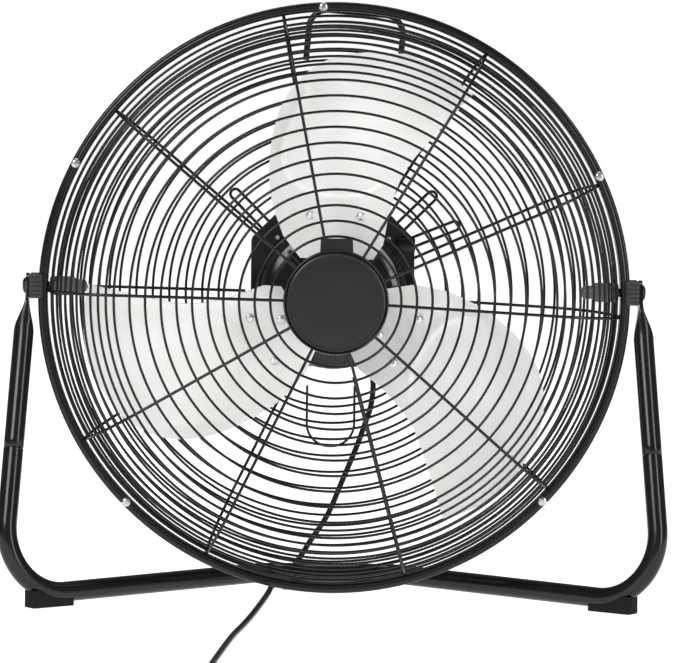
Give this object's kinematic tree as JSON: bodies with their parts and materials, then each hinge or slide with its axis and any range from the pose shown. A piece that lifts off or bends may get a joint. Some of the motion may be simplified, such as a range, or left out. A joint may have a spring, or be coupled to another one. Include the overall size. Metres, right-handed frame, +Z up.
{
  "type": "floor fan",
  "caption": "Round high-velocity floor fan: a wire cage and aluminium propeller that tilt between the arms of a bent-tube stand, with mains lead.",
  "frame": {"origin": "on the floor under the centre of the fan's box, the mains lead left out", "axes": "+Z up; the fan blows towards -Y; +X is to the right seen from the front"},
  "size_m": [0.6276, 0.7424, 0.57],
  "materials": {
    "black_powder_coat": "gloss black powder coat on steel tube and wire",
    "motor_enamel": "gloss brown-black enamel",
    "aluminium_sheet": "satin rolled sheet",
    "zinc_plate": "zinc plated steel",
    "grey_plastic": "moulded dark grey",
    "gloss_plastic": "moulded charcoal, satin to gloss",
    "black_rubber": "matt",
    "copper_bronze": "windings and sintered bushes",
    "bright_steel": "ground",
    "cord_vinyl": "semi-matt black vinyl"
  },
  "bodies": {
    "stand": {"base_tube": "black_powder_coat", "arm_left": "black_powder_coat", "arm_right": "black_powder_coat", "front_foot_left": "black_rubber", "front_foot_right": "black_rubber", "rear_foot_left": "black_rubber", "rear_foot_right": "black_rubber", "pivot_bolt_left": "zinc_plate", "pivot_bolt_right": "zinc_plate", "pivot_washer_left": "zinc_plate", "pivot_washer_right": "zinc_plate", "pivot_cap_left": "grey_plastic", "pivot_cap_right": "grey_plastic", "cord_floor": "cord_vinyl", "cord_coil": "cord_vinyl", "cord_tie": "black_rubber", "cord_tail": "cord_vinyl", "plug": "cord_vinyl", "cord_drop": "cord_vinyl"},
    "head": {"front_grille_face": "black_powder_coat", "front_grille_side": "black_powder_coat", "rear_grille_face": "black_powder_coat", "rear_grille_side": "black_powder_coat", "front_rim": "black_powder_coat", "rear_rim": "black_powder_coat", "rim_screw_1": "zinc_plate", "rim_screw_2": "zinc_plate", "rim_screw_3": "zinc_plate", "rim_screw_4": "zinc_plate", "rim_screw_5": "zinc_plate", "badge_bezel": "gloss_plastic", "badge_disc": "gloss_plastic", "carry_handle": "black_powder_coat", "cord_hook": "black_powder_coat", "side_clip": "black_powder_coat", "motor_front_cover": "motor_enamel", "motor_rear_cover": "motor_enamel", "front_bearing": "copper_bronze", "rear_bearing": "copper_bronze", "stator": "copper_bronze", "motor_plate": "black_powder_coat", "plate_screw_1": "zinc_plate", "plate_screw_2": "zinc_plate", "plate_screw_3": "zinc_plate", "plate_screw_4": "zinc_plate", "switch_housing": "grey_plastic", "speed_switch": "grey_plastic", "capacitor": "gloss_plastic", "strain_relief": "black_rubber", "pivot_block_left": "grey_plastic", "pivot_block_right": "grey_plastic"},
    "rotor": {"rotor_shaft": "bright_steel", "hub_spider": "zinc_plate", "blade_1": "aluminium_sheet", "blade_2": "aluminium_sheet", "blade_3": "aluminium_sheet", "prop_nut": "zinc_plate"},
    "speed_knob": {"speed_knob": "gloss_plastic"}
  },
  "joints": [
    {"name": "head_tilt", "type": "hinge", "parent": "stand", "child": "head", "pos_m": [0, -0.02249, 0.299], "axis": [1, 0, 0], "range_deg": [-80, 30], "deforming": ["cord_drop"]},
    {"name": "rotor_spin", "type": "hinge", "parent": "head", "child": "rotor", "pos_m": [0, -0.02249, 0.29], "axis": [0, -1, 0], "continuous": true},
    {"name": "speed_knob_turn", "type": "hinge", "parent": "head", "child": "speed_knob", "pos_m": [0, -0.02249, 0.312], "axis": [0, 1, 0], "range_deg": [0, 270]}
  ]
}
